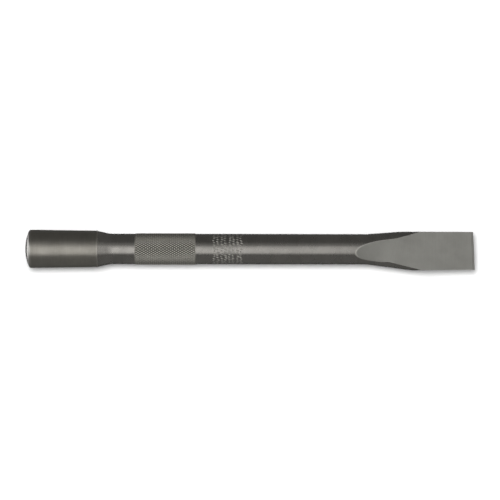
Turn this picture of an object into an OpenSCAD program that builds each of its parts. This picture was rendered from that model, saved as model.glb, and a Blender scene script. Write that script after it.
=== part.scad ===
// Cold chisel: one round bar of forged tool steel, divided into its named working zones.
// It lies along X on the plane Z = 0, with the struck end at -X, the cutting edge at +X and
// the blade flat. The bar's axis is straight above the X axis, and the origin is at mid-length.
// Lengths along the tool are counted from the struck end.

/* [Bar] */
// Overall length, from the top of the crown to the cutting edge
overall_length = 304.8; // [290:0.1:320]
// Diameter of the round bar
bar_diameter = 20.6; // [19:0.1:22]

/* [Striking head] */
// Diameter of the head at its struck end
head_diameter = 25.9; // [24:0.1:28]
// Diameter of the head where the shoulder starts
head_root_diameter = 24.7; // [22.5:0.1:25]
// Length of the head, with its crown
head_length = 49.3; // [40:0.1:55]
// Length of the conical shoulder, down to the bar
shoulder_length = 8.3; // [6:0.1:14]
// Radius of the domed struck face
crown_radius = 31; // [25:0.5:60]
// Radius of the rounded rim around the struck face
crown_rim_radius = 1.5; // [0.8:0.1:3]

/* [Grip] */
// Length of the smooth neck between the shoulder and the knurl
neck_length = 16.5; // [10:0.1:20]
// Length of the knurled band
knurl_length = 41.5; // [34:0.1:46]
// Diameter over the points of the knurl
knurl_diameter = 21.2; // [20.8:0.1:22.4]
// Depth of the knurl's grooves
knurl_depth = 0.45; // [0.2:0.05:0.7]
// Points around the knurl
knurl_points = 40; // [24:1:48]
// Rows of points along the knurl
knurl_rows = 16; // [10:1:20]

/* [Flare] */
// Distance from the cutting edge back to the start of the flare
flare_setback = 73.6; // [71:0.1:78]
// Length of the flare on the left (+Y) side
flare_length_left = 22.4; // [18:0.1:30]
// Length of the flare on the right (-Y) side
flare_length_right = 30.5; // [24:0.1:34]

/* [Blade] */
// Distance from the cutting edge back to the blade's heel
blade_length = 38.9; // [34:0.1:42]
// Width of the blade at its heel
heel_width = 26.2; // [25.5:0.1:28]
// Width of the cutting edge
edge_width = 25.7; // [24:0.1:27]
// How far the heel's middle lies to the right of the bar's axis
heel_offset = 1.15; // [0:0.05:2]
// How far the edge's middle lies to the right of the bar's axis
edge_offset = 0.95; // [0:0.05:2]
// Slope of each ground face towards the blade's middle plane
grind_angle = 5.7; // [5.4:0.1:6.2]
// Length of the flat part of each ground face
face_length = 69.8; // [66:0.1:71]
// Radius of the hollow where each ground face runs out into the bar
runout_radius = 50; // [30:1:60]

/* [Cutting edge] */
// Thickness of the blade where the two bevels start
edge_thickness = 2.2; // [1.6:0.1:3]
// Angle of each bevel to the blade's middle plane
bevel_angle = 32; // [28:1:35]
// Angle that the edge is out of square
edge_skew = 2.7; // [0:0.1:3]
// Width of the worn land along the edge
edge_land = 0.1; // [0.06:0.02:0.3]

/* [Hidden] */
ROUND_FN = 96;
ARC_STEPS = 8;
MARGIN = 5;
OXIDE_COLOUR = [0.36, 0.35, 0.34];
KNURL_COLOUR = [0.46, 0.45, 0.43];
GROUND_COLOUR = [0.52, 0.52, 0.50];

bar_r = bar_diameter / 2;
head_r = head_diameter / 2;
head_root_r = head_root_diameter / 2;
knurl_r = knurl_diameter / 2;

// Ends of the zones
crown_end = crown_radius
    - sqrt(pow(crown_radius - crown_rim_radius, 2) - pow(head_r - crown_rim_radius, 2));
shoulder_end = head_length + shoulder_length;
knurl_start = shoulder_end + neck_length;
knurl_end = knurl_start + knurl_length;
flare_start = overall_length - flare_setback;
heel = overall_length - blade_length;
edge_zone = 2.4;

// Sides of the blade, left and right of the bar's axis
heel_left = heel_width / 2 - heel_offset;
heel_right = -heel_width / 2 - heel_offset;
edge_left = edge_width / 2 - edge_offset;
edge_right = -edge_width / 2 - edge_offset;
flare_angle_left = atan((heel_left - bar_r) / flare_length_left);
flare_angle_right = atan((heel_right + bar_r) / flare_length_right);

// Half thickness of the blade at a distance from the struck end, on the flat of a ground face
bevel_length = edge_thickness / 2 / tan(bevel_angle);
face_start = overall_length - face_length;
function half_thickness(along) =
    edge_thickness / 2 + (overall_length - bevel_length - along) * tan(grind_angle);

// The hollow that leads each ground face out of the bar, from the bar's surface to the flat
runout_sweep = acos(cos(grind_angle) - (bar_r - half_thickness(face_start)) / runout_radius)
    - grind_angle;
function runout_point(turn) = [
    face_start - runout_radius * (cos(grind_angle) * sin(turn) - sin(grind_angle) * (1 - cos(turn))),
    half_thickness(face_start)
        + runout_radius * (sin(grind_angle) * sin(turn) + cos(grind_angle) * (1 - cos(turn)))
];

// The upper half of the blade's side view, as [along, height] points
upper_face = concat(
    [for (step = [0 : ARC_STEPS]) runout_point(runout_sweep * (1 - step / ARC_STEPS))],
    [[overall_length + MARGIN, half_thickness(overall_length + MARGIN)]]
);

// Arc points as [radius, along], from one angle to another, for a turned profile
function arc(centre_r, centre_along, radius, from, to) = [
    for (step = [0 : ARC_STEPS])
        let (turn = from + (to - from) * step / ARC_STEPS)
            [centre_r + radius * sin(turn), centre_along - radius * cos(turn)]
];
crown_sweep = asin((head_r - crown_rim_radius) / (crown_radius - crown_rim_radius));

// The knurl is a net of points and groove crossings that alternate around the bar and along it
knurl_columns = 2 * knurl_points;
knurl_rings = 2 * knurl_rows;
function is_point(column, ring) = (column + ring) % 2 == 0;
function knurl_corner(column, ring) =
    let (
        turn = 360 * column / knurl_columns,
        radius = is_point(column, ring) ? knurl_r : knurl_r - knurl_depth
    )
        [knurl_start + knurl_length * ring / knurl_rings, radius * cos(turn), radius * sin(turn)];
function knurl_index(column, ring) = ring * knurl_columns + column % knurl_columns;

// The two triangles of one cell of the net, which meet along the groove's bottom
function knurl_cell(column, ring) =
    let (
        a = knurl_index(column, ring),
        b = knurl_index(column, ring + 1),
        c = knurl_index(column + 1, ring + 1),
        d = knurl_index(column + 1, ring)
    )
        is_point(column, ring) ? [[a, b, d], [b, c, d]] : [[a, b, c], [a, c, d]];

// Places a shape drawn along the bar's axis from the struck end
module on_bar() {
    translate([-overall_length / 2, 0, head_r])
        children();
}

// A solid turned about the bar's axis from [radius, along] points
module turned(profile) {
    on_bar()
        rotate([0, 90, 0])
            rotate_extrude($fn = ROUND_FN)
                polygon(profile);
}

// A turned length whose radius changes evenly
module turned_length(from, to, r_from, r_to) {
    turned([[0, from], [r_from, from], [r_to, to], [0, to]]);
}

// A prism across the tool whose outline is a side view
module side_view(points) {
    rotate([90, 0, 0])
        linear_extrude(height = 4 * head_r, center = true)
            polygon(points);
}

// A prism through the tool whose outline is a plan view
module plan_view(points) {
    linear_extrude(height = 4 * head_r, center = true)
        polygon(points);
}

// Everything between the two ground faces
module between_ground_faces() {
    lower_face = [for (i = [len(upper_face) - 1 : -1 : 0]) [upper_face[i][0], -upper_face[i][1]]];
    side_view(concat(
        [[0, -bar_r - MARGIN], [0, bar_r + MARGIN], [upper_face[0][0], bar_r + MARGIN]],
        upper_face,
        lower_face,
        [[upper_face[0][0], -bar_r - MARGIN]]
    ));
}

// One side of the forged blade: round like the bar, and leaning outwards
module forged_side(angle) {
    translate([flare_start, 0, 0])
        rotate([0, 0, angle])
            rotate([0, 90, 0])
                translate([0, 0, -MARGIN])
                    cylinder(h = flare_setback + 3 * MARGIN, r = bar_r, $fn = ROUND_FN);
}

// The forged and ground blade, before its bevels
module blade_blank() {
    reach = flare_setback + MARGIN;
    intersection() {
        union() {
            forged_side(flare_angle_left);
            forged_side(flare_angle_right);
            plan_view([
                [flare_start, 0],
                [flare_start + reach, reach * tan(flare_angle_right)],
                [flare_start + reach, reach * tan(flare_angle_left)]
            ]);
        }
        between_ground_faces();
        plan_view([
            [flare_start - MARGIN, heel_left],
            [heel, heel_left],
            [overall_length, edge_left],
            [overall_length + MARGIN, edge_left],
            [overall_length + MARGIN, edge_right],
            [overall_length, edge_right],
            [flare_start + flare_length_right, heel_right],
            [flare_start - MARGIN, heel_right]
        ]);
    }
}

// Everything behind a line parallel to the cutting edge and a setback from it
module behind_edge(setback) {
    translate([overall_length, edge_right, 0])
        rotate([0, 0, edge_skew])
            translate([-setback, 0, 0])
                mirror([1, 0, 0])
                    translate([0, -2 * heel_width, -2 * head_r])
                        cube([2 * overall_length, 4 * heel_width, 4 * head_r]);
}

// The two bevels that meet at the cutting edge
module between_bevels() {
    rise = 2 * MARGIN * tan(bevel_angle);
    translate([overall_length, edge_right, 0])
        rotate([0, 0, edge_skew])
            side_view([
                [-2 * MARGIN, edge_land / 2 + rise],
                [0, edge_land / 2],
                [0, -edge_land / 2],
                [-2 * MARGIN, -edge_land / 2 - rise]
            ]);
}

// The domed face that the hammer strikes, with its rounded rim
module struck_crown() {
    color(GROUND_COLOUR)
        turned(concat(
            arc(0, crown_radius, crown_radius, 0, crown_sweep),
            arc(head_r - crown_rim_radius, crown_end, crown_rim_radius, crown_sweep, 90),
            [[0, crown_end]]
        ));
}

// The thick head, a little slimmer towards the shoulder
module striking_head() {
    color(OXIDE_COLOUR)
        turned_length(crown_end, head_length, head_r, head_root_r);
}

// The cone from the head down to the bar
module head_shoulder() {
    color(OXIDE_COLOUR)
        turned_length(head_length, shoulder_end, head_root_r, bar_r);
}

// The smooth stretch above the knurl
module neck() {
    color(OXIDE_COLOUR)
        turned_length(shoulder_end, knurl_start, bar_r, bar_r);
}

// The band that the hand holds, covered with diamond points
module knurled_grip() {
    color(KNURL_COLOUR)
        on_bar()
            polyhedron(
                points = [
                    for (ring = [0 : knurl_rings])
                        for (column = [0 : knurl_columns - 1])
                            knurl_corner(column, ring)
                ],
                faces = concat(
                    [[for (column = [0 : knurl_columns - 1]) knurl_index(column, 0)]],
                    [
                        for (ring = [0 : knurl_rings - 1])
                            for (column = [0 : knurl_columns - 1])
                                each knurl_cell(column, ring)
                    ],
                    [[for (column = [knurl_columns - 1 : -1 : 0]) knurl_index(column, knurl_rings)]]
                )
            );
}

// The plain bar from the knurl to the flare, where the ground faces begin
module shank() {
    color(OXIDE_COLOUR)
        on_bar()
            intersection() {
                translate([knurl_end, 0, 0])
                    rotate([0, 90, 0])
                        cylinder(h = flare_start - knurl_end, r = bar_r, $fn = ROUND_FN);
                between_ground_faces();
            }
}

// The forged stretch where the round bar widens and thins into the blade
module blade_flare() {
    color(OXIDE_COLOUR)
        on_bar()
            intersection() {
                blade_blank();
                translate([flare_start, -2 * head_r, -2 * head_r])
                    cube([heel - flare_start, 4 * head_r, 4 * head_r]);
            }
}

// The flat ground blade
module blade() {
    color(GROUND_COLOUR)
        on_bar()
            intersection() {
                blade_blank();
                translate([heel, -2 * head_r, -2 * head_r])
                    cube([blade_length + MARGIN, 4 * head_r, 4 * head_r]);
                behind_edge(edge_zone);
            }
}

// The last stretch, with the bevels that cut
module cutting_edge() {
    color(GROUND_COLOUR)
        on_bar()
            difference() {
                intersection() {
                    blade_blank();
                    between_bevels();
                }
                behind_edge(edge_zone);
            }
}

struck_crown();
striking_head();
head_shoulder();
neck();
knurled_grip();
shank();
blade_flare();
blade();
cutting_edge();
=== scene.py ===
"""Cold chisel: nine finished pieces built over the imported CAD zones, with studio light and camera.

Shape numbers are in millimetres in the tool's own terms: along is the distance from the struck end,
and y and z are counted from the bar's axis. placed() turns them into the shared frame, in metres.
"""

import math

import bpy
import numpy as np
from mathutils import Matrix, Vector


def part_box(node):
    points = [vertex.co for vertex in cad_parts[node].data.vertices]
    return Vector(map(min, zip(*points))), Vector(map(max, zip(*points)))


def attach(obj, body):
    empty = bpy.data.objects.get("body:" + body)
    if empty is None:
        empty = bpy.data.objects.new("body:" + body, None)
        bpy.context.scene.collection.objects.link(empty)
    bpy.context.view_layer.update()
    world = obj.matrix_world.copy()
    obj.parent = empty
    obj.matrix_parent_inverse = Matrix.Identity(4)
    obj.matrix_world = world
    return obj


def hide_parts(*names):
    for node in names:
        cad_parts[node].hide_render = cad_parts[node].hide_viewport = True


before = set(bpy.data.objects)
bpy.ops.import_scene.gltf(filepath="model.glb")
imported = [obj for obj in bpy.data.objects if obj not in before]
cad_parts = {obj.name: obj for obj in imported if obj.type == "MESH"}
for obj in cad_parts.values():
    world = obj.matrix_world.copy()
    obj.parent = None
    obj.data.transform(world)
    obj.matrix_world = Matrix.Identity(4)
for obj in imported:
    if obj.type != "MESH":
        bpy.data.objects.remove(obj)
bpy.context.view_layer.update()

# ---------------------------------------------------------------- sizes, read from the CAD zones

MM = 0.001
STRUCK_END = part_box("struck_crown")[0].x
AXIS_Z = (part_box("striking_head")[0].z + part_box("striking_head")[1].z) / 2


def start_of(node):
    """Distance in mm from the struck end to where a zone starts."""
    return (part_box(node)[0].x - STRUCK_END) / MM


def end_of(node):
    """Distance in mm from the struck end to where a zone ends."""
    return (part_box(node)[1].x - STRUCK_END) / MM


def radius_of(node):
    """Largest height in mm of a zone above the bar's axis."""
    return (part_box(node)[1].z - AXIS_Z) / MM


CROWN_END = end_of("struck_crown")
HEAD_END = end_of("striking_head")
SHOULDER_END = end_of("head_shoulder")
KNURL_START = start_of("knurled_grip")
KNURL_END = end_of("knurled_grip")
FLARE_START = start_of("blade_flare")
HEEL = start_of("blade")
TIP = end_of("cutting_edge")
EDGE_ZONE_START = start_of("cutting_edge")

HEAD_R = radius_of("striking_head")
HEAD_ROOT_R = radius_of("head_shoulder")
BAR_R = radius_of("neck")
KNURL_R = radius_of("knurled_grip")
HEEL_HALF_THICKNESS = radius_of("blade")
EDGE_HALF_THICKNESS = radius_of("cutting_edge")

HEEL_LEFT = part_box("blade_flare")[1].y / MM
HEEL_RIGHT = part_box("blade_flare")[0].y / MM
EDGE_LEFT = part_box("cutting_edge")[1].y / MM

# ---------------------------------------------------------------- sizes that no zone's box shows

CROWN_R = 31.0
CROWN_RIM_R = 1.5
EDGE_RIGHT = -13.8          # right-hand end of the edge itself, just inside its zone's box
EDGE_SKEW = math.tan(math.radians(2.7))
EDGE_ZONE = 2.4             # length of the cutting edge's zone
BEVEL_ANGLE = math.radians(32.0)
EDGE_LAND = 0.05            # half the width of the worn land along the edge
FLARE_LENGTH_LEFT = 22.4
FLARE_LENGTH_RIGHT = 30.5

# ---------------------------------------------------------------- small maths helpers


def smoothstep(low, high, x):
    """0 at low and 1 at high, with an even start and end."""
    share = np.clip((x - low) / (high - low), 0, 1)
    return share * share * (3 - 2 * share)


def smooth_min(a, b, width):
    """The smaller of a and b, rounded where they cross."""
    share = np.clip(0.5 + 0.5 * (b - a) / width, 0, 1)
    return b * (1 - share) + a * share - width * share * (1 - share)


def smooth_curve(points):
    """A smooth function through a few (x, y) points that never overshoots between them."""
    x, y = (np.array(v, float) for v in zip(*points))
    step = np.diff(x)
    slope = np.diff(y) / step
    tangent = np.zeros_like(y)
    both = slope[:-1] * slope[1:] > 0
    safe = np.where(both, slope[:-1] + slope[1:], 1)
    tangent[1:-1] = np.where(both, 2 * slope[:-1] * slope[1:] / safe, 0)
    tangent[0], tangent[-1] = slope[0], slope[-1]

    def value(at):
        at = np.clip(np.asarray(at, float), x[0], x[-1])
        i = np.clip(np.searchsorted(x, at, side="right") - 1, 0, len(step) - 1)
        t = (at - x[i]) / step[i]
        return (
            y[i] * (1 + 2 * t) * (1 - t) ** 2
            + y[i + 1] * (3 - 2 * t) * t * t
            + step[i] * t * (1 - t) * (tangent[i] * (1 - t) - tangent[i + 1] * t)
        )

    return value


def placed(along, y, z):
    """Points in the shared frame, in metres."""
    return np.stack([STRUCK_END + along * MM, y * MM, AXIS_Z + z * MM], axis=-1)


def turns(count):
    """Evenly spaced angles around the bar, from +Y and going up."""
    return np.arange(count) * 2 * math.pi / count


def around_bar(along, turn, radius):
    """Points around the bar at one distance along it, at these angles and radii."""
    return placed(along + 0 * turn, radius * np.cos(turn), radius * np.sin(turn))


# ---------------------------------------------------------------- meshes

AROUND = 144                # mesh points around the bar
DRAWN_DOWN = 0.06           # how much thinner the shank gets towards the flare


def solid(node, rings, wear_and_highlight=None, ground=None):
    """A closed piece that stands for one CAD node, from rings of points as placed() gives them.

    Neighbouring rings have the same number of points, or one has three times as many as the other.
    """
    faces, first = [], [0]
    for ring in rings:
        first.append(first[-1] + len(ring))
    for a, b, ring_a, ring_b in zip(first, first[1:], rings, rings[1:]):
        count_a, count_b = len(ring_a), len(ring_b)
        fewer = min(count_a, count_b)
        steps_a, steps_b = count_a // fewer, count_b // fewer
        for i in range(fewer):
            side_a = [a + (steps_a * i + j) % count_a for j in range(steps_a + 1)]
            side_b = [b + (steps_b * i + j) % count_b for j in range(steps_b + 1)]
            faces.append(side_a + side_b[::-1])
    return finished(node, rings, faces, wear_and_highlight, ground)


def finished(node, rings, faces, wear_and_highlight, ground=None, sharp_degrees=50):
    """Closes a tube of rings and faces, stores its values of wear and painted highlight and its ground
    values and ties it to its node.
    """
    count = sum(len(ring) for ring in rings)
    faces.append(list(range(len(rings[0])))[::-1])
    faces.append(list(range(count - len(rings[-1]), count)))
    mesh = bpy.data.meshes.new(node + "_finish")
    mesh.from_pydata(np.concatenate(rings).tolist(), [], faces)
    mesh.validate()
    mesh.shade_smooth()
    mesh.set_sharp_from_angle(angle=math.radians(sharp_degrees))
    for key, values in (("wear_and_highlight", wear_and_highlight), ("ground", ground)):
        if values is not None:
            layer = mesh.attributes.new(key, "FLOAT", "POINT")
            layer.data.foreach_set("value", np.concatenate(values).astype(np.float32))
    piece = bpy.data.objects.new(node + "_finish", mesh)
    bpy.context.scene.collection.objects.link(piece)
    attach(piece, "root")
    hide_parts(node)
    return piece


def bar_radius(along):
    """Radius of the shank, which is drawn down very slightly towards the flare."""
    return BAR_R - DRAWN_DOWN * float(smoothstep(KNURL_END, FLARE_START, along))


def circle(along, radius):
    """One perfectly round ring."""
    return around_bar(along, turns(AROUND), radius)


# ---------------------------------------------------------------- head, shoulder and neck

LIP = 0.25                  # length of the rounded lip at the head's end
LIP_DROP = 0.2              # how far the lip rounds off
CONE_BLEND = 0.5            # roundness of the corner between the cone and the neck
WAVE = 0.016                # height of the waves left in the turned surface
WAVES = (                   # mm along for a radian, times around, phase, share of the height
    (5.3, 2, 0.4, 1),
    (8.9, -3, 1.7, 1),
    (3.1, 5, 0, 0.6),
)
NECK_WAVES = 0.35           # share of those waves that the smoother neck has
# The wear values below and the painted highlights on the lip, the knurl's points and the ridges share
# one scale: 0 is the full finish, 1 the bright bare-steel colour.
CROWN_WEAR = 0.25           # wear goes from 0 for the full finish to 1 for bare steel
RIM_WEAR = 0.2
# The lip's value is edge wear and also a painted highlight line along the lip.
LIP_WEAR_AND_HIGHLIGHT = 0.4
WEAR_AND_HIGHLIGHT_WIDTH = 0.5            # how far the wear at the rim, and the wear and painted highlight at the lip, spread along the head
CROWN_WEAR_SPREAD = 0.05    # how far the rim's wear spreads over the crown, in radians


def unevenness(along, turn):
    """Slow waves left by upsetting and turning, in mm."""
    return WAVE * sum(
        share * np.sin(along / length + times * turn + phase)
        for length, times, phase, share in WAVES
    )


def turned_ring(along, radius, share):
    """One ring of a turned length, with a share of the waves."""
    turn = turns(AROUND)
    return around_bar(along, turn, radius + share * unevenness(along, turn))


def faded_at_ends(along, start, end, length):
    """1 in the middle of a stretch, falling to 0 over this length at both of its ends."""
    return float(smoothstep(start, start + length, along) * smoothstep(end, end - length, along))


def make_struck_crown():
    """The dome, with a tiny flat at its middle, and the rounded rim around it."""
    flat = 0.004
    sweep = math.asin((HEAD_R - CROWN_RIM_R) / (CROWN_R - CROWN_RIM_R))
    rings, wear_and_highlight = [], []
    for turn in np.linspace(flat, sweep, 40):
        rings.append(circle(CROWN_R * (1 - math.cos(turn)), CROWN_R * math.sin(turn)))
        spread_wear = math.exp(-((sweep - turn) / CROWN_WEAR_SPREAD) ** 2)
        wear_and_highlight.append(np.full(AROUND, CROWN_WEAR * spread_wear))
    for turn in np.linspace(sweep, math.pi / 2, 20)[1:]:
        rings.append(
            circle(
                CROWN_END - CROWN_RIM_R * math.cos(turn),
                HEAD_R - CROWN_RIM_R * (1 - math.sin(turn)),
            )
        )
        wear_and_highlight.append(np.full(AROUND, CROWN_WEAR))
    return solid("struck_crown", rings, wear_and_highlight)


def make_striking_head():
    """The tapered head, which ends in a small rounded lip."""
    rings, wear_and_highlight = [], []
    for along in np.linspace(CROWN_END, HEAD_END - LIP, 90):
        share = (along - CROWN_END) / (HEAD_END - CROWN_END)
        waves = faded_at_ends(along, CROWN_END, HEAD_END, 4)
        rings.append(turned_ring(along, HEAD_R + (HEAD_ROOT_R - HEAD_R) * share, waves))
        # The lip gets wear and a painted highlight in the bright colour; the rim by the crown gets wear.
        at_lip = math.exp(-((HEAD_END - LIP - along) / WEAR_AND_HIGHLIGHT_WIDTH) ** 2)
        at_rim = math.exp(-((along - CROWN_END) / WEAR_AND_HIGHLIGHT_WIDTH) ** 2)
        wear_and_highlight.append(np.full(AROUND, LIP_WEAR_AND_HIGHLIGHT * at_lip + RIM_WEAR * at_rim))
    for turn in np.linspace(0, math.pi / 2, 9)[1:]:
        rings.append(
            circle(
                HEAD_END - LIP + LIP * math.sin(turn),
                HEAD_ROOT_R - LIP_DROP * (1 - math.cos(turn)),
            )
        )
        wear_and_highlight.append(np.full(AROUND, LIP_WEAR_AND_HIGHLIGHT * math.cos(turn)))
    return solid("striking_head", rings, wear_and_highlight)


def below_head(along):
    """Radius of the cone and of the neck after it, with the corner between them rounded."""
    cone = HEAD_ROOT_R - LIP_DROP
    cone -= (cone - BAR_R) * (along - HEAD_END) / (SHOULDER_END - HEAD_END)
    return -float(smooth_min(-cone, -BAR_R, CONE_BLEND))


def make_head_shoulder():
    stations = np.linspace(HEAD_END, SHOULDER_END, 50)
    return solid("head_shoulder", [circle(along, below_head(along)) for along in stations])


def make_neck():
    rings = []
    for along in np.linspace(SHOULDER_END, KNURL_START, 50):
        waves = NECK_WAVES * faded_at_ends(along, SHOULDER_END, KNURL_START, 3)
        rings.append(turned_ring(along, below_head(along), waves))
    return solid("neck", rings)


# ---------------------------------------------------------------- knurl

KNURL_POINTS = 40
KNURL_ROWS = 16
KNURL_DEPTH = 0.32
KNURL_STEPS = 8             # mesh cells across one diamond
KNURL_RUN_OUT = 3           # mesh rows over which the knurl fades into the bar at each end
POINT_HEIGHT = 1.1          # what a point would reach if its top weren't cut level at 1
GROOVE_BEND = 2.2           # over 1, a groove's walls start steep and level off at the points
# The knurl's points get wear and a painted highlight in the bright colour.
POINT_WEAR_AND_HIGHLIGHT = 0.95
RUN_OUT_WEAR = 0.4


def groove_wall(steps):
    """Height, from 0 in a groove to 1 on the points, at a number of mesh cells from a groove."""
    away = np.minimum(steps % KNURL_STEPS, -steps % KNURL_STEPS) / (KNURL_STEPS / 2)
    return np.minimum(POINT_HEIGHT * (1 - (1 - away) ** GROOVE_BEND), 1)


def make_knurled_grip():
    """The knurled band, as a net of small cells that are cut into triangles both ways in turn."""
    columns = KNURL_POINTS * KNURL_STEPS
    rows = KNURL_ROWS * KNURL_STEPS
    column = np.arange(columns)
    turn = turns(columns)
    rings, wear_and_highlight = [], []
    for row in range(rows + 1):
        along = KNURL_START + (KNURL_END - KNURL_START) * row / rows
        height = np.minimum(groove_wall(column + row), groove_wall(column - row))
        cut = smoothstep(0, KNURL_RUN_OUT, min(row, rows - row))
        radius = BAR_R + cut * (KNURL_R - BAR_R - KNURL_DEPTH * (1 - height))
        rings.append(around_bar(along, turn, radius))
        # Points get wear and a painted highlight; the grooves keep the dark knurl tone, which there
        # stands as painted shade.
        wear_and_highlight.append(POINT_WEAR_AND_HIGHLIGHT * height**2.5 * cut + RUN_OUT_WEAR * (1 - cut))
    faces = []
    for row in range(rows):
        for i in range(columns):
            a, d = row * columns + i, row * columns + (i + 1) % columns
            b, c = a + columns, d + columns
            faces += [[a, d, b], [b, d, c]] if (row + i) % 2 == 0 else [[a, c, b], [a, d, c]]
    return finished("knurled_grip", rings, faces, wear_and_highlight, sharp_degrees=28)


# ---------------------------------------------------------------- shank, flare and blade

FACE_START = TIP - 65.9     # where the ground faces become flat
RUNOUT_R = 85.0             # hollow that leads each ground face out of the bar
FACE_ROLL = 0.25            # sideways slope of a ground face where it leaves the bar
RIDGE_ROUNDING = 0.3
# Painted highlight: how strongly the bright colour is laid along the ridges of the ground faces.
RIDGE_HIGHLIGHT = 0.8
RIDGE_HIGHLIGHT_LOST = 0.75      # share of that painted highlight that is missing from the flare on
RIDGE_HIGHLIGHT_WIDTH = 0.14     # half the width of the painted highlight line along each ridge
GROUND_BLEND = 0.05         # half the depth over which a forged side turns into a ground face
FLARE_ROUNDING = 1.0        # how gently the flare starts, in plan
HEEL_ROUNDING = 0.25        # how gently the flare ends, in plan
SIDE_RISE = 0.03            # how fast a forged side rises past the level end of its arc
OUTLINE_POINTS = 1440       # in a section's dense outline, from which a ring's points are taken
CORNER_SHARE = 3.0          # how much closer together a ring's points are where it turns
BEVEL_ROUNDING = 0.06       # roundness of the ridge where a bevel meets its ground face

FLARE_SLOPE_LEFT = (HEEL_LEFT - BAR_R) / FLARE_LENGTH_LEFT
FLARE_SLOPE_RIGHT = (HEEL_RIGHT + BAR_R) / FLARE_LENGTH_RIGHT

# How curved the forged sides are, by distance from the start of the flare
side_curvature_left = smooth_curve([
    (0, 1 / BAR_R), (7, 0.101), (13.2, 0.115), (23.4, 0.145),
    (27.4, 0.138), (33.4, 0.07), (36.4, 0.004), (80, 0.004),
])
side_curvature_right = smooth_curve([
    (0, 1 / BAR_R), (9.4, 0.125), (16.4, 0.148), (23.4, 0.134),
    (30.4, 0.117), (33.9, 0.09), (37.4, 0.004), (80, 0.004),
])


def reach(along, slope, wall, edge):
    """How far a side of the forging lies from the bar's axis, negative on the right."""
    started = -float(smooth_min(0.0, FLARE_START - along, FLARE_ROUNDING))
    to_tip = float(np.clip((TIP - along) / (TIP - HEEL), 0, 1))
    limit = edge + (wall - edge) * to_tip**4
    flared = bar_radius(along) + abs(slope) * started
    return math.copysign(float(smooth_min(flared, abs(limit), HEEL_ROUNDING)), wall)


def face_height(along):
    """Height of a ground face above the bar's axis, at the blade's middle."""
    fall = (HEEL_HALF_THICKNESS - EDGE_HALF_THICKNESS) / (EDGE_ZONE_START - HEEL)
    flat = HEEL_HALF_THICKNESS + (HEEL - along) * fall
    return flat + max(FACE_START - along, 0) ** 2 / (2 * RUNOUT_R)


def face_roll(along):
    """Sideways slope of a ground face, which dies out towards the blade."""
    return FACE_ROLL * (1 - float(smoothstep(FLARE_START - 6, FLARE_START + 30, along)))


def side_ray(dy, dz, side, middle, curvature):
    """Distance from the middle to a forged side: an arc, and past its level end a slow rise."""
    side_r = 1 / curvature
    centre = side - math.copysign(side_r, side) - middle
    along_ray = dy * centre
    to_arc = along_ray + np.sqrt(np.maximum(along_ray**2 - centre**2 + side_r**2, 0))
    to_level = side_r / np.maximum(np.abs(dz), 1e-9)
    past_end = math.copysign(1, side) * centre - to_level * np.abs(dy)
    return np.where(past_end > 0, to_level * (1 + SIDE_RISE * past_end**2), to_arc)


def section(along, height):
    """One outline of the shank or blade: rows of y, z, ground (0 to 1) and the painted highlight along
    the ridges.
    """
    past = along - FLARE_START
    left = reach(along, FLARE_SLOPE_LEFT, HEEL_LEFT, EDGE_LEFT)
    right = reach(along, FLARE_SLOPE_RIGHT, HEEL_RIGHT, EDGE_RIGHT)
    middle = (left + right) / 2
    turn = turns(OUTLINE_POINTS)
    dy = (left - right) / 2 * np.cos(turn)
    dz = min(height, bar_radius(along)) * np.sin(turn)
    size = np.hypot(dy, dz)
    dy, dz = dy / size, dz / size
    ray_side = np.where(
        dy > 0,
        side_ray(dy, dz, left, middle, float(side_curvature_left(past))),
        side_ray(dy, dz, right, middle, float(side_curvature_right(past))),
    )
    roll = face_roll(along)
    rise = np.maximum(np.abs(dz) - roll * dy, 1e-6)
    ray_face = (height + roll * (middle - (EDGE_LEFT + EDGE_RIGHT) / 2)) / rise
    ray = smooth_min(ray_side, ray_face, RIDGE_ROUNDING)
    depth = ray_side - ray_face
    ground = smoothstep(-GROUND_BLEND, GROUND_BLEND, depth)
    share = 1 - RIDGE_HIGHLIGHT_LOST * smoothstep(FLARE_START - 8, FLARE_START, along)
    # Painted highlight along the ridge between a forged side and a ground face.
    ridge = RIDGE_HIGHLIGHT * share * np.exp(-((depth / RIDGE_HIGHLIGHT_WIDTH) ** 2))
    ridge *= smoothstep(TIP - EDGE_ZONE, TIP - EDGE_ZONE - 1, along)
    return np.stack([middle + ray * dy, ray * dz, ground, ridge])


def spread(outline):
    """Takes a ring's points from a dense closed outline, closer together where it turns."""
    y, z = outline[0], outline[1]
    step_y, step_z = np.roll(y, -1) - y, np.roll(z, -1) - z
    heading = np.unwrap(np.arctan2(step_z, step_y))
    turning = np.abs(np.roll(heading, -1) - heading)
    turning = np.minimum(turning, 2 * math.pi - turning)
    weight = np.hypot(step_y, step_z) + CORNER_SHARE * (turning + np.roll(turning, 1)) / 2
    points, dense_points = AROUND // 4, OUTLINE_POINTS // 4
    taken = []
    for quarter in range(4):
        index = np.arange(quarter * dense_points, (quarter + 1) * dense_points + 1) % OUTLINE_POINTS
        total = np.concatenate([[0], np.cumsum(weight[index[:-1]])])
        want = np.arange(points) * total[-1] / points
        taken.append([np.interp(want, total, row[index]) for row in outline])
    return np.concatenate(taken, axis=1)


def blade_ring(along, height):
    """One ring with its ground values and painted ridge highlight; towards the tip it leans like the
    skewed edge.
    """
    y, z, ground, ridge = spread(section(along, height))
    lean = EDGE_SKEW * float(smoothstep(HEEL, TIP - EDGE_ZONE, along))
    return placed(along - lean * (y - EDGE_RIGHT), y, z), ground, ridge


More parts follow.
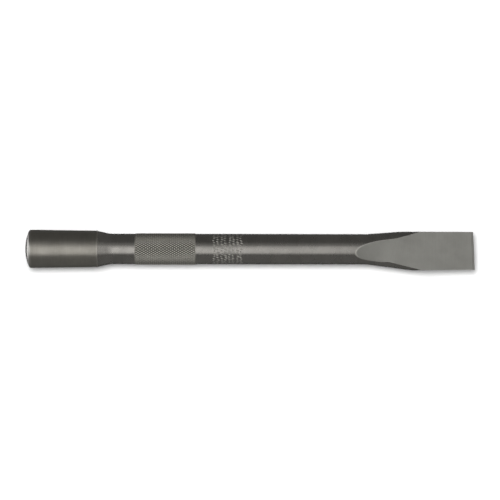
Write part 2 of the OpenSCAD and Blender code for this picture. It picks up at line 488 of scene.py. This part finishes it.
MARK_ROWS = 4
MARK_START = KNURL_END + 11.7
MARK_PITCH = 5.25           # from one row of marks to the next
MARK_HEIGHT = 4.3
MARK_END = MARK_START + (MARK_ROWS - 1) * MARK_PITCH + MARK_HEIGHT
MARK_DEPTH = 0.3
MARK_HALF_WIDTH = 0.3
MARK_SLANT = 0.5            # how far a tick goes around the bar for each mm along it
MARK_WEAR = 0.75
MARK_SEED = 7
MARK_LENGTHS = (0.2, 1.2)
MARK_GAPS = (0.7, 1.2)      # from one tick to the next around the bar
BURR_HEIGHT = 0.035
BURR_WIDTH = 0.12
FINE_AROUND = 3 * AROUND    # mesh points around the bar where the marks are
FINE_STEP = 0.16            # from ring to ring at the marks and at the start of the ground faces
FINE_GAP = 0.2              # from such a fine stretch to the coarser one beside it


def stamp_strokes():
    """Plain ticks that spell nothing, as (along, around, along, around) in mm on the unrolled bar.

    They stand side by side in rows over the bar's upper half, each row in two lines, all slanted
    the same way and none touching another.
    """
    rng = np.random.default_rng(MARK_SEED)
    upper_half = math.pi * BAR_R
    strokes = []
    for row in range(MARK_ROWS):
        low = MARK_START + row * MARK_PITCH
        around = rng.uniform(0.9, 1.5)
        while around < upper_half - 2:
            for line in range(2):
                length = rng.uniform(*MARK_LENGTHS)
                start = low + MARK_HEIGHT * (0.55 * line + rng.uniform(0, 0.2))
                strokes.append((start, around, start + length, around + MARK_SLANT * length))
                around += rng.uniform(*MARK_GAPS)
    return strokes


def stamped_depth(along, around, strokes):
    """How far each point lies below the bar's surface, negative on the burrs beside a stroke."""
    nearest = np.full(around.shape, np.inf)
    for start, low, end, high in strokes:
        if not start - 1 < along < end + 1:
            continue
        run, rise = end - start, high - low
        share = ((along - start) * run + (around - low) * rise) / (run * run + rise * rise)
        share = np.clip(share, 0, 1)
        away = np.hypot(along - start - share * run, around - low - share * rise)
        nearest = np.minimum(nearest, away)
    groove = MARK_DEPTH * (1 - smoothstep(0.3 * MARK_HALF_WIDTH, 1.3 * MARK_HALF_WIDTH, nearest))
    burr = BURR_HEIGHT * np.exp(-(((nearest - 1.6 * MARK_HALF_WIDTH) / BURR_WIDTH) ** 2))
    return groove - burr


def make_shank():
    """The round bar with its marks, and the stretch where the ground faces come out of it."""
    strokes = stamp_strokes()
    marks_from, marks_to = MARK_START - 0.8, MARK_END + 0.8
    faces_from, faces_to = FLARE_START - 8.8, FLARE_START - 3
    plain = np.zeros(AROUND)
    rings, wear_and_highlight, ground = [], [], []
    for along in np.linspace(KNURL_END, marks_from - FINE_GAP, 10):
        rings.append(circle(along, bar_radius(along)))
        wear_and_highlight.append(plain)
        ground.append(plain)
    turn = turns(FINE_AROUND)
    for along in np.arange(marks_from, marks_to, FINE_STEP):
        depth = stamped_depth(along, turn * BAR_R, strokes)
        rings.append(around_bar(along, turn, bar_radius(along) - depth))
        wear_and_highlight.append(MARK_WEAR * np.clip(np.abs(depth) / (0.5 * MARK_DEPTH), 0, 1))
        ground.append(0 * turn)
    stations = np.concatenate([
        np.linspace(marks_to + FINE_GAP, faces_from - FINE_GAP, 36),
        np.arange(faces_from, faces_to, FINE_STEP),
        np.linspace(faces_to, FLARE_START, 10),
    ])
    for along in stations:
        ring, ground_here, ridge = blade_ring(along, face_height(along))
        rings.append(ring)
        # The ridge values are a painted highlight, kept in the same value as wear.
        wear_and_highlight.append(ridge)
        ground.append(ground_here)
    return solid("shank", rings, wear_and_highlight, ground)


def forged_piece(node, stations, height=face_height):
    """A closed piece of the forged and ground end, with a ring at each station."""
    rings, ground, ridge = zip(*(blade_ring(along, height(along)) for along in stations))
    return solid(node, list(rings), list(ridge), list(ground))


def make_blade_flare():
    return forged_piece("blade_flare", np.linspace(FLARE_START, HEEL, 90))


def make_blade():
    return forged_piece("blade", np.linspace(HEEL, TIP - EDGE_ZONE, 80))


def bevel_height(along):
    """Height of the cutting edge above its middle: the face, cut down by the steeper bevel."""
    bevel = EDGE_LAND + (TIP - along) * math.tan(BEVEL_ANGLE)
    return float(smooth_min(bevel, face_height(along), BEVEL_ROUNDING))


def make_cutting_edge():
    """The last zone, with rings closer together on the bevels."""
    bevel_start = TIP - 1.9
    stations = np.concatenate([
        np.linspace(TIP - EDGE_ZONE, bevel_start, 6)[:-1],
        np.linspace(bevel_start, TIP, 20),
    ])
    return forged_piece("cutting_edge", stations, bevel_height)


# ---------------------------------------------------------------- materials


def add_node(tree, kind, **values):
    """Adds a shader node; values are its properties or the names of its inputs with _ for spaces."""
    made = tree.nodes.new(kind)
    for key, value in values.items():
        if hasattr(made, key):
            setattr(made, key, value)
        else:
            made.inputs[key.replace("_", " ")].default_value = value
    return made


def stretched_noise(tree, stretch, scale, detail):
    """The value of a noise in the tool's own space, with its cells closer together by stretch."""
    place = add_node(tree, "ShaderNodeTexCoord")
    mapping = add_node(tree, "ShaderNodeMapping")
    mapping.inputs["Scale"].default_value = stretch
    noise = add_node(tree, "ShaderNodeTexNoise", Scale=scale, Detail=detail, Roughness=0.55)
    tree.links.new(place.outputs["Object"], mapping.inputs["Vector"])
    tree.links.new(mapping.outputs["Vector"], noise.inputs["Vector"])
    return noise.outputs["Fac"]


def ranged(tree, source, low, high, out_low, out_high):
    """Maps a value from one range to another."""
    change = add_node(tree, "ShaderNodeMapRange")
    for key, value in (("From Min", low), ("From Max", high), ("To Min", out_low), ("To Max", out_high)):
        change.inputs[key].default_value = value
    tree.links.new(source, change.inputs["Value"])
    return change.outputs["Result"]


def mixed(tree, factor, first, second):
    """Mixes two colours or two values, each a constant or an output.

    The Mix node keeps its values at inputs 2 and 3 and output 0, and its colours at 6, 7 and 2.
    """
    is_value = isinstance(first, float) or getattr(first, "type", "") == "VALUE"
    mix = add_node(tree, "ShaderNodeMix", data_type="FLOAT" if is_value else "RGBA")
    for number, value in zip((2, 3) if is_value else (6, 7), (first, second)):
        if isinstance(value, tuple):
            mix.inputs[number].default_value = (*value, 1)
        elif isinstance(value, float):
            mix.inputs[number].default_value = value
        else:
            tree.links.new(value, mix.inputs[number])
    tree.links.new(factor, mix.inputs[0])
    return mix.outputs[0 if is_value else 2]


def scaled(tree, colour, factor):
    """Multiplies a colour by a value."""
    scale = add_node(tree, "ShaderNodeVectorMath", operation="SCALE")
    tree.links.new(colour, scale.inputs[0])
    tree.links.new(factor, scale.inputs["Scale"])
    return scale.outputs[0]


class Finish:
    """How one kind of steel surface looks: its tones, its roughness and its fine lines.

    lines holds the noise cells per metre along X, Y and Z, so unequal numbers draw the noise out
    into lines. line_depth is their depth in metres, and streak how much they change the tone.
    """

    def __init__(self, dark, light, roughness, lines, line_depth, streak=0.05):
        self.dark = dark
        self.light = light
        self.roughness = roughness
        self.lines = lines
        self.line_depth = line_depth
        self.streak = streak

    def outputs(self, tree):
        """Colour, roughness and height (in metres) outputs of this finish."""
        mottle = ranged(tree, stretched_noise(tree, (1, 1, 1), 90, 4), 0.3, 0.7, 0, 1)
        fine = stretched_noise(tree, self.lines, 1, 2)
        streaks = ranged(tree, fine, 0.3, 0.7, 1 - self.streak, 1 + self.streak)
        colour = scaled(tree, mixed(tree, mottle, self.dark, self.light), streaks)
        roughness = ranged(tree, mottle, 0, 1, self.roughness + 0.02, self.roughness - 0.02)
        height = ranged(tree, fine, 0.3, 0.7, 0, self.line_depth)
        return colour, roughness, height


def steel(name, finish, ground=None, worn_and_highlight=(0.66, 0.645, 0.595), worn_and_highlight_roughness=0.55):
    """A steel of one finish, or of two told apart by the mesh's ground value, with worn edges and
    painted highlights, both in a bright bare-steel colour.
    """
    material = bpy.data.materials.new(name)
    material.use_nodes = True
    tree = material.node_tree
    surface = tree.nodes["Principled BSDF"]
    surface.inputs["Metallic"].default_value = 1.0
    colour, roughness, height = finish.outputs(tree)
    if ground is not None:
        share = add_node(tree, "ShaderNodeAttribute", attribute_name="ground").outputs["Fac"]
        pairs = zip((colour, roughness, height), ground.outputs(tree))
        colour, roughness, height = (mixed(tree, share, forged, flat) for forged, flat in pairs)
    # This value lays the bright bare-steel colour both on real wear and on painted highlights along the
    # ridges, the head's lip and the knurl's points.
    wear_and_highlight = add_node(tree, "ShaderNodeAttribute", attribute_name="wear_and_highlight").outputs["Fac"]
    tree.links.new(mixed(tree, wear_and_highlight, colour, worn_and_highlight), surface.inputs["Base Color"])
    tree.links.new(mixed(tree, wear_and_highlight, roughness, worn_and_highlight_roughness), surface.inputs["Roughness"])
    bump = add_node(tree, "ShaderNodeBump", Strength=1.0, Distance=1.0)
    tree.links.new(height, bump.inputs["Height"])
    tree.links.new(bump.outputs["Normal"], surface.inputs["Normal"])
    return material


# ---------------------------------------------------------------- studio


def area_light(name, place, aim, size, radiance, glossy=True, diffuse=True):
    """A rectangular softbox that faces aim; radiance is what a mirror would show of it."""
    data = bpy.data.lights.new(name, "AREA")
    data.shape = "RECTANGLE"
    data.size, data.size_y = size
    data.energy = radiance * math.pi * size[0] * size[1]
    light = bpy.data.objects.new(name, data)
    light.location = place
    light.rotation_euler = (Vector(aim) - Vector(place)).to_track_quat("-Z", "Y").to_euler()
    light.visible_glossy = glossy
    light.visible_diffuse = diffuse
    light.visible_camera = False
    bpy.context.scene.collection.objects.link(light)


def reflected_light(name, place, aim, size, radiance):
    """A softbox that only shows as a reflection in the steel."""
    area_light(name, place, aim, size, radiance, diffuse=False)


def overhead(name, x_range, y_range, height, radiance):
    """A softbox hung level over the tool."""
    x, y = sum(x_range) / 2, sum(y_range) / 2
    size = (x_range[1] - x_range[0], y_range[1] - y_range[0])
    area_light(name, (x, y, height), (x, y, 0), size, radiance)


def make_lights():
    """Softboxes over the tool, and fills that show only as reflections on its sides and ends.

    The floor key gives the floor most of its light and isn't mirrored in the steel.
    """
    softbox_y = (-0.98, 0.62)
    overhead("main_softbox", (-1.5, 0.45), softbox_y, 1.5, 0.56)
    overhead("blade_softbox", (0.62, 2.3), softbox_y, 1.5, 0.62)
    overhead("head_softbox", (-0.7, -0.07), (-0.98, 0.22), 1.48, 0.75)
    overhead("wide_fill", (-2.0, 2.0), (-1.4, 1.6), 1.6, 0.16)

    middle = (0, 0, AXIS_Z)
    side_y, side_size = 1.6, (2.4, 2.6)
    reflected_light("low_side_fill", (0, -side_y, 0), middle, side_size, 0.09)
    past_tip = 1.25
    for y in (-side_y, side_y):
        aim = (past_tip, 0, AXIS_Z)
        reflected_light("shank_side_fill", (past_tip, y, 0), aim, side_size, 0.027)
    reflected_light("edge_end_fill", (1.3, 0, 0.8), middle, (1.0, 1.4), 0.65)

    crown = Vector((STRUCK_END, 0, AXIS_Z))
    reflected_light("crown_bounce", crown + Vector((-0.47, 0.02, -0.37)), crown, (0.35, 0.27), 2.2)
    reflected_light("crown_side", crown + Vector((-0.08, 0, 0.03)), crown, (0.07, 0.08), 1.2)
    reflected_light("struck_end_fill", (-1.6, -0.9, 0.5), crown, (1.4, 1.2), 0.15)
    area_light("floor_key", (-0.18, 0.37, 2.2), middle, (0.74, 0.74), 26, glossy=False)


def make_world():
    """A dim grey studio all around, which the camera sees as white."""
    world = bpy.data.worlds.new("studio")
    world.use_nodes = True
    tree = world.node_tree
    background = tree.nodes["Background"]
    background.inputs["Color"].default_value = (0.122, 0.122, 0.119, 1)
    white = add_node(tree, "ShaderNodeBackground")
    white.inputs["Color"].default_value = (1, 1, 1, 1)
    path = add_node(tree, "ShaderNodeLightPath")
    choose = add_node(tree, "ShaderNodeMixShader")
    tree.links.new(path.outputs["Is Camera Ray"], choose.inputs[0])
    tree.links.new(background.outputs[0], choose.inputs[1])
    tree.links.new(white.outputs[0], choose.inputs[2])
    tree.links.new(choose.outputs[0], tree.nodes["World Output"].inputs["Surface"])
    bpy.context.scene.world = world


def make_floor():
    """A pale matt floor that glows white from a distance on, so that it has no visible end."""
    half, glow_start, glow_full = 4.0, 0.45, 1.1
    corners = [(-half, -half, 0), (half, -half, 0), (half, half, 0), (-half, half, 0)]
    mesh = bpy.data.meshes.new("floor")
    mesh.from_pydata(corners, [], [(0, 1, 2, 3)])
    floor = bpy.data.objects.new("floor", mesh)
    bpy.context.scene.collection.objects.link(floor)
    material = bpy.data.materials.new("floor_white")
    material.use_nodes = True
    tree = material.node_tree
    paint = tree.nodes["Principled BSDF"]
    paint.inputs["Base Color"].default_value = (0.9, 0.9, 0.9, 1)
    paint.inputs["Roughness"].default_value = 0.9
    paint.inputs["Specular IOR Level"].default_value = 0.0
    paint.inputs["Emission Color"].default_value = (1, 1, 1, 1)
    place = add_node(tree, "ShaderNodeTexCoord")
    away = add_node(tree, "ShaderNodeVectorMath", operation="LENGTH")
    tree.links.new(place.outputs["Object"], away.inputs[0])
    glow = ranged(tree, away.outputs["Value"], glow_start, glow_full, 0, 1)
    tree.links.new(glow, paint.inputs["Emission Strength"])
    floor.data.materials.append(material)
    floor.visible_glossy = False


def make_camera():
    """A long lens straight above; view_width is what the picture spans at the bar's axis."""
    lens, sensor, view_width = 250.0, 36.0, 0.3391
    centre_x, centre_y, roll_degrees = -0.00007, -0.0006, 0.085
    data = bpy.data.cameras.new("camera")
    data.lens, data.sensor_width = lens, sensor
    data.clip_end = 20
    camera = bpy.data.objects.new("camera", data)
    camera.location = (centre_x, centre_y, AXIS_Z + view_width * lens / sensor)
    camera.rotation_euler = (0, 0, math.radians(roll_degrees))
    bpy.context.scene.collection.objects.link(camera)
    bpy.context.scene.camera = camera
    bpy.context.scene.view_settings.view_transform = "Standard"


# ---------------------------------------------------------------- assembly

RINGS_AROUND = (2600, 90, 90)
LINES_ACROSS = (3000, 60, 3000)
oxide = Finish((0.285, 0.275, 0.256), (0.355, 0.34, 0.318), 0.27, RINGS_AROUND, 0.000004)
head_oxide = Finish((0.285, 0.272, 0.243), (0.346, 0.33, 0.295), 0.37, RINGS_AROUND, 0.000005)
crown_steel = Finish((0.36, 0.35, 0.34), (0.46, 0.45, 0.44), 0.22, (2600, 900, 900), 0.000005)
# The knurl's tone is darker than the bar's; in the grooves it is painted shade as well as the steel's
# tone.
knurl_steel = Finish((0.156, 0.15, 0.135), (0.21, 0.202, 0.181), 0.42, RINGS_AROUND, 0.000003)
satin = Finish((0.32, 0.316, 0.294), (0.35, 0.346, 0.322), 0.58, LINES_ACROSS, 0.000006, 0.03)

turned = steel("oxide_steel", oxide)
forged = steel("forged_and_ground_steel", oxide, satin)
head = steel("head_oxide_steel", head_oxide)
struck = steel("struck_steel", crown_steel)
# This bright colour paints highlights on the knurl's points as well as their wear.
knurled = steel("knurled_steel", knurl_steel, worn_and_highlight=(0.76, 0.737, 0.665), worn_and_highlight_roughness=0.52)

PIECES = [
    (make_struck_crown, struck, "struck_steel"),
    (make_striking_head, head, "oxide_steel"),
    (make_head_shoulder, turned, "oxide_steel"),
    (make_neck, turned, "oxide_steel"),
    (make_knurled_grip, knurled, "knurled_steel"),
    (make_shank, forged, "oxide_steel"),
    (make_blade_flare, forged, "oxide_steel"),
    (make_blade, forged, "ground_steel"),
    (make_cutting_edge, forged, "ground_steel"),
]
for make, material, slot in PIECES:
    piece = make()
    piece.data.materials.append(material)

make_lights()
make_world()
make_floor()
make_camera()
